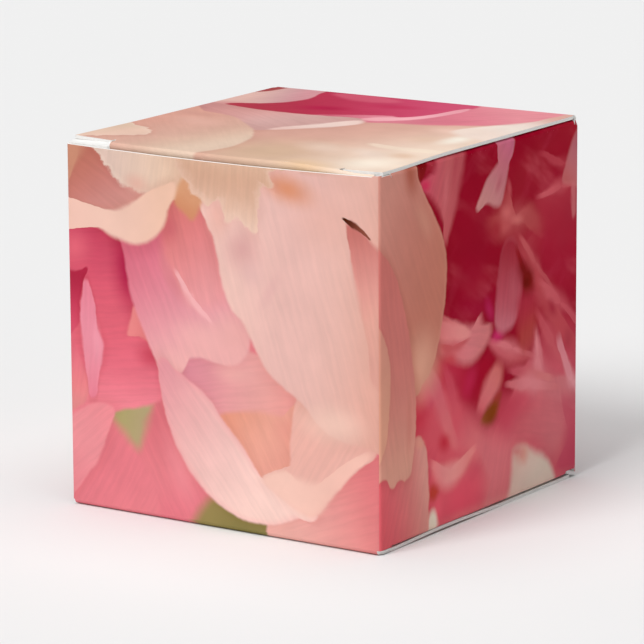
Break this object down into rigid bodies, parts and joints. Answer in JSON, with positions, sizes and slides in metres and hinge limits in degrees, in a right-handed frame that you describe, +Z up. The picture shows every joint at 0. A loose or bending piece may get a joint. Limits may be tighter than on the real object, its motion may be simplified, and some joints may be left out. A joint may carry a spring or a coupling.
{
  "type": "favor box",
  "caption": "Folding card gift box, a small cube with hinged tuck-in lid and base closures, dust flaps and a glued side seam, printed with a flower pattern.",
  "frame": {"origin": "centre of the closed box's footprint, on the surface that it stands on", "axes": "+Z up through the lid, -Y out of the front wall that the lid tucks in behind, +X out of the right side wall"},
  "size_m": [0.0508, 0.0508, 0.0508],
  "materials": {
    "printed_card": "satin coated print",
    "plain_card": "uncoated matte",
    "adhesive": "dried clear glue"
  },
  "bodies": {
    "walls": {"front_panel": "printed_card", "right_panel": "printed_card", "back_panel": "printed_card", "left_panel": "printed_card", "glue_flap": "plain_card", "glue_line": "adhesive"},
    "lid": {"lid_panel": "printed_card"},
    "lid_tuck": {"lid_tuck_flap": "printed_card"},
    "lid_dust_right": {"lid_dust_flap_right": "plain_card"},
    "lid_dust_left": {"lid_dust_flap_left": "plain_card"},
    "base": {"base_panel": "printed_card"},
    "base_tuck": {"base_tuck_flap": "printed_card"},
    "base_dust_right": {"base_dust_flap_right": "plain_card"},
    "base_dust_left": {"base_dust_flap_left": "plain_card"}
  },
  "joints": [
    {"name": "lid_hinge", "type": "hinge", "parent": "walls", "child": "lid", "pos_m": [0, 0.02517, 0.05058], "axis": [-1, 0, 0], "range_deg": [0, 175]},
    {"name": "lid_tuck_fold", "type": "hinge", "parent": "lid", "child": "lid_tuck", "pos_m": [0, -0.02463, 0.05058], "axis": [-1, 0, 0], "range_deg": [0, 43.75]},
    {"name": "lid_dust_right_fold", "type": "hinge", "parent": "walls", "child": "lid_dust_right", "pos_m": [0.02517, 0, 0.05003], "axis": [0, 1, 0], "range_deg": [0, 87.5]},
    {"name": "lid_dust_left_fold", "type": "hinge", "parent": "walls", "child": "lid_dust_left", "pos_m": [-0.02517, 0, 0.05003], "axis": [0, -1, 0], "range_deg": [0, 87.5]},
    {"name": "base_hinge", "type": "hinge", "parent": "walls", "child": "base", "pos_m": [0, -0.02517, 0.00022], "axis": [-1, 0, 0], "range_deg": [0, 175]},
    {"name": "base_tuck_fold", "type": "hinge", "parent": "base", "child": "base_tuck", "pos_m": [0, 0.02463, 0.00022], "axis": [-1, 0, 0], "range_deg": [0, 43.75]},
    {"name": "base_dust_right_fold", "type": "hinge", "parent": "walls", "child": "base_dust_right", "pos_m": [0.02517, 0, 0.00077], "axis": [0, -1, 0], "range_deg": [0, 87.5]},
    {"name": "base_dust_left_fold", "type": "hinge", "parent": "walls", "child": "base_dust_left", "pos_m": [-0.02517, 0, 0.00077], "axis": [0, 1, 0], "range_deg": [0, 87.5]}
  ],
  "couplings": [
    {"joint": "lid_tuck_fold", "follows": "lid_hinge", "ratio": 0.25},
    {"joint": "lid_dust_right_fold", "follows": "lid_hinge", "ratio": 0.5},
    {"joint": "lid_dust_left_fold", "follows": "lid_hinge", "ratio": 0.5},
    {"joint": "base_tuck_fold", "follows": "base_hinge", "ratio": 0.25},
    {"joint": "base_dust_right_fold", "follows": "base_hinge", "ratio": 0.5},
    {"joint": "base_dust_left_fold", "follows": "base_hinge", "ratio": 0.5}
  ]
}
